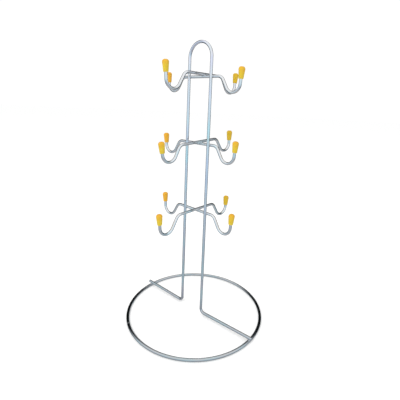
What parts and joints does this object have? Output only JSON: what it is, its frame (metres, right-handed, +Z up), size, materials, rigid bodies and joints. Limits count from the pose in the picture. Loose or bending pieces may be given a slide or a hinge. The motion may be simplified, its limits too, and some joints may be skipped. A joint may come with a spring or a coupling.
{
  "type": "mug tree",
  "caption": "Free-standing plated wire mug tree: a ring base, a hairpin upright with a carry loop, and tiers of crossed arms with capped hooks.",
  "frame": {"origin": "centre of the base ring, on the table it stands on", "axes": "+Z up, +X in the plane of the hairpin upright towards its right foot, +Y to the rear, along the crosswise arms"},
  "size_m": [0.2055, 0.2, 0.3899],
  "materials": {
    "plated_wire": "bright plated round wire",
    "yellow_cap": "soft moulded plastic, satin"
  },
  "bodies": {
    "root": {"base_ring": "plated_wire", "upright_frame": "plated_wire", "lower_lengthwise_arm": "plated_wire", "lower_crosswise_arm": "plated_wire", "middle_lengthwise_arm": "plated_wire", "middle_crosswise_arm": "plated_wire", "top_lengthwise_arm": "plated_wire", "top_crosswise_arm": "plated_wire", "lower_left_cap": "yellow_cap", "lower_right_cap": "yellow_cap", "lower_front_cap": "yellow_cap", "lower_rear_cap": "yellow_cap", "middle_left_cap": "yellow_cap", "middle_right_cap": "yellow_cap", "middle_front_cap": "yellow_cap", "middle_rear_cap": "yellow_cap", "top_left_cap": "yellow_cap", "top_right_cap": "yellow_cap", "top_front_cap": "yellow_cap", "top_rear_cap": "yellow_cap"}
  },
  "joints": []
}
